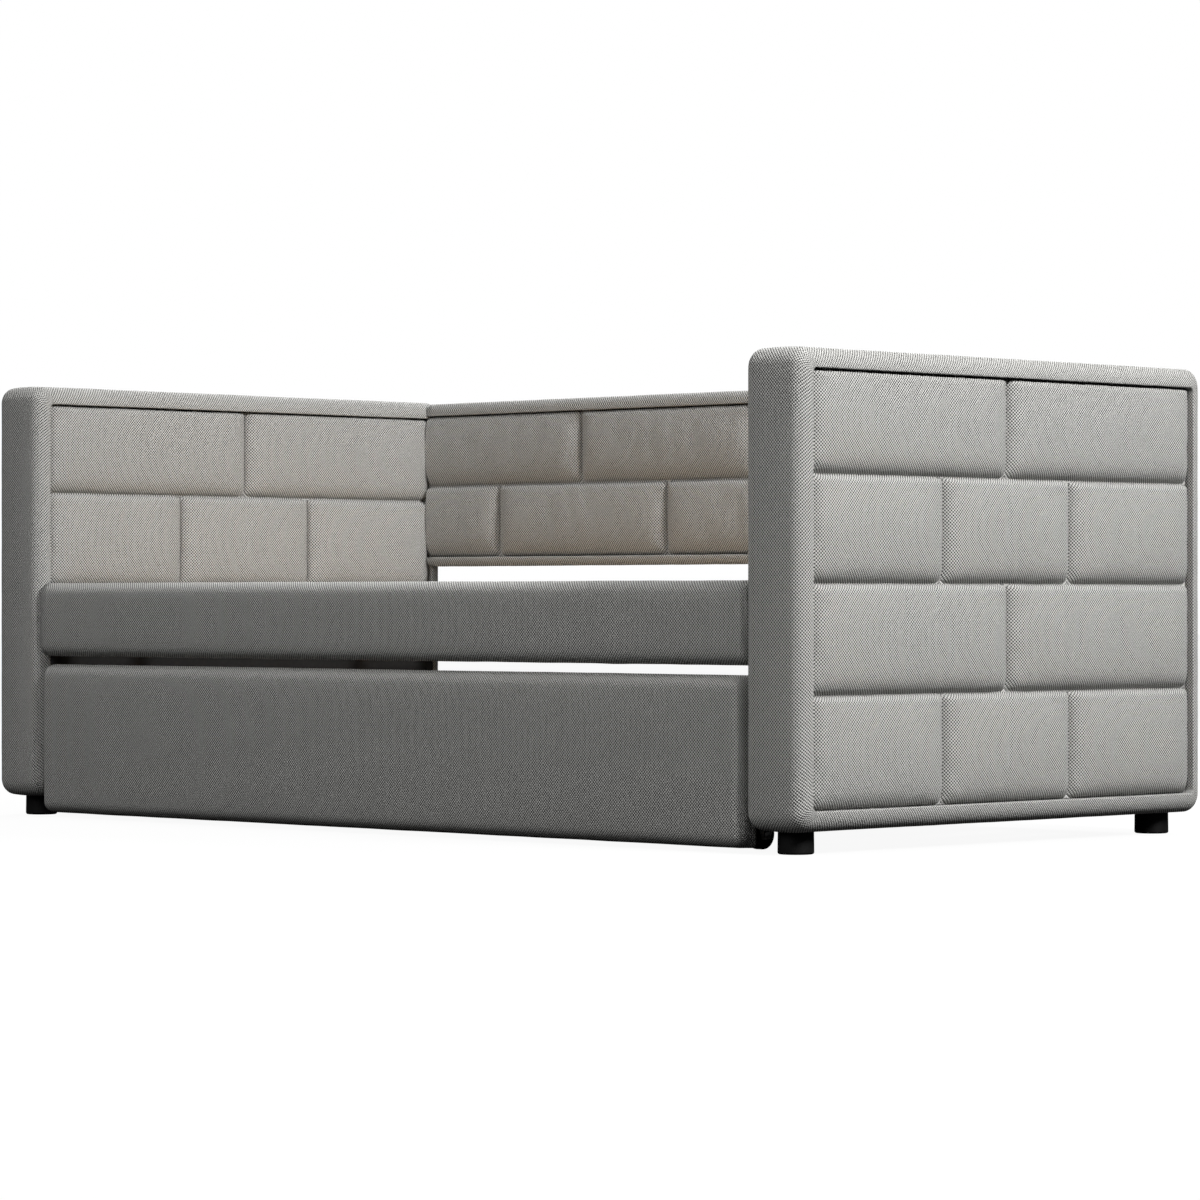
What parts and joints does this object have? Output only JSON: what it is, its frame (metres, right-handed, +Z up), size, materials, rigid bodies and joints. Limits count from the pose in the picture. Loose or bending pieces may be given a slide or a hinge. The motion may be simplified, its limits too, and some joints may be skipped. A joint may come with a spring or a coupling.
{
  "type": "trundle bed",
  "caption": "Upholstered daybed with brick-stitched padded arms and back, slatted deck, and a padded-front trundle bed that rolls out from under it on casters.",
  "frame": {"origin": "on the floor under the middle of the bed, trundle closed", "axes": "+X along the bed from the left arm to the right arm seen from the front, -Y towards the front where the trundle rolls out, +Z up"},
  "size_m": [2.23, 1.133, 0.876],
  "materials": {
    "upholstery": "woven, light warm grey, padded",
    "lining": "black non-woven dust cloth on board",
    "foot_plastic": "moulded black",
    "wheel_plastic": "moulded black",
    "slat_wood": "planed softwood",
    "timber": "sawn softwood",
    "plywood": "thin plywood",
    "trundle_board": "dark laminated board",
    "webbing": "woven tape",
    "bracket_steel": "zinc plated",
    "fastener_steel": "zinc plated"
  },
  "bodies": {
    "daybed": {"back_board": "plywood", "back_bolts": "fastener_steel", "back_border": "upholstery", "back_bottom_rail": "timber", "back_pad": "upholstery", "back_rear_cover": "upholstery", "back_stiles": "timber", "back_top_rail": "timber", "deck_slats": "slat_wood", "foot_studs": "fastener_steel", "front_left_foot": "foot_plastic", "front_rail_board": "timber", "front_rail_cover": "upholstery", "front_right_foot": "foot_plastic", "left_arm_border": "upholstery", "left_arm_bottom_rail": "timber", "left_arm_front_stile": "timber", "left_arm_inner_board": "plywood", "left_arm_inner_pad": "upholstery", "left_arm_lower_panel": "lining", "left_arm_middle_rail": "timber", "left_arm_outer_board": "plywood", "left_arm_outer_pad": "upholstery", "left_arm_rear_stile": "timber", "left_arm_top_rail": "timber", "rail_bolts": "fastener_steel", "rail_brackets": "bracket_steel", "rail_screws": "fastener_steel", "rear_left_foot": "foot_plastic", "rear_rail_board": "timber", "rear_rail_cover": "upholstery", "rear_right_foot": "foot_plastic", "right_arm_border": "upholstery", "right_arm_bottom_rail": "timber", "right_arm_front_stile": "timber", "right_arm_inner_board": "plywood", "right_arm_inner_pad": "upholstery", "right_arm_lower_panel": "lining", "right_arm_middle_rail": "timber", "right_arm_outer_board": "plywood", "right_arm_outer_pad": "upholstery", "right_arm_rear_stile": "timber", "right_arm_top_rail": "timber", "slat_ledgers": "timber", "slat_tapes": "webbing"},
    "trundle": {"caster_axles": "fastener_steel", "caster_forks": "bracket_steel", "caster_screws": "fastener_steel", "trundle_bearers": "timber", "trundle_front_board": "timber", "trundle_front_cover": "upholstery", "trundle_ledgers": "timber", "trundle_left_side": "trundle_board", "trundle_rear_rail": "trundle_board", "trundle_right_side": "trundle_board", "trundle_slats": "slat_wood"},
    "front_left_wheel": {"front_left_wheel": "wheel_plastic"},
    "front_right_wheel": {"front_right_wheel": "wheel_plastic"},
    "rear_left_wheel": {"rear_left_wheel": "wheel_plastic"},
    "rear_right_wheel": {"rear_right_wheel": "wheel_plastic"}
  },
  "joints": [
    {"name": "trundle_slide", "type": "slide", "parent": "daybed", "child": "trundle", "axis": [0, -1, 0], "range_m": [0, 1.08]},
    {"name": "front_left_wheel_spin", "type": "hinge", "parent": "trundle", "child": "front_left_wheel", "pos_m": [-0.9, -0.437, 0.0275], "axis": [1, 0, 0], "continuous": true},
    {"name": "front_right_wheel_spin", "type": "hinge", "parent": "trundle", "child": "front_right_wheel", "pos_m": [0.9, -0.437, 0.0275], "axis": [1, 0, 0], "continuous": true},
    {"name": "rear_left_wheel_spin", "type": "hinge", "parent": "trundle", "child": "rear_left_wheel", "pos_m": [-0.56, 0.382, 0.0275], "axis": [1, 0, 0], "continuous": true},
    {"name": "rear_right_wheel_spin", "type": "hinge", "parent": "trundle", "child": "rear_right_wheel", "pos_m": [0.56, 0.382, 0.0275], "axis": [1, 0, 0], "continuous": true}
  ],
  "couplings": [
    {"joint": "front_left_wheel_spin", "follows": "trundle_slide", "rad_per_m": 36.364},
    {"joint": "front_right_wheel_spin", "follows": "trundle_slide", "rad_per_m": 36.364},
    {"joint": "rear_left_wheel_spin", "follows": "trundle_slide", "rad_per_m": 36.364},
    {"joint": "rear_right_wheel_spin", "follows": "trundle_slide", "rad_per_m": 36.364}
  ]
}
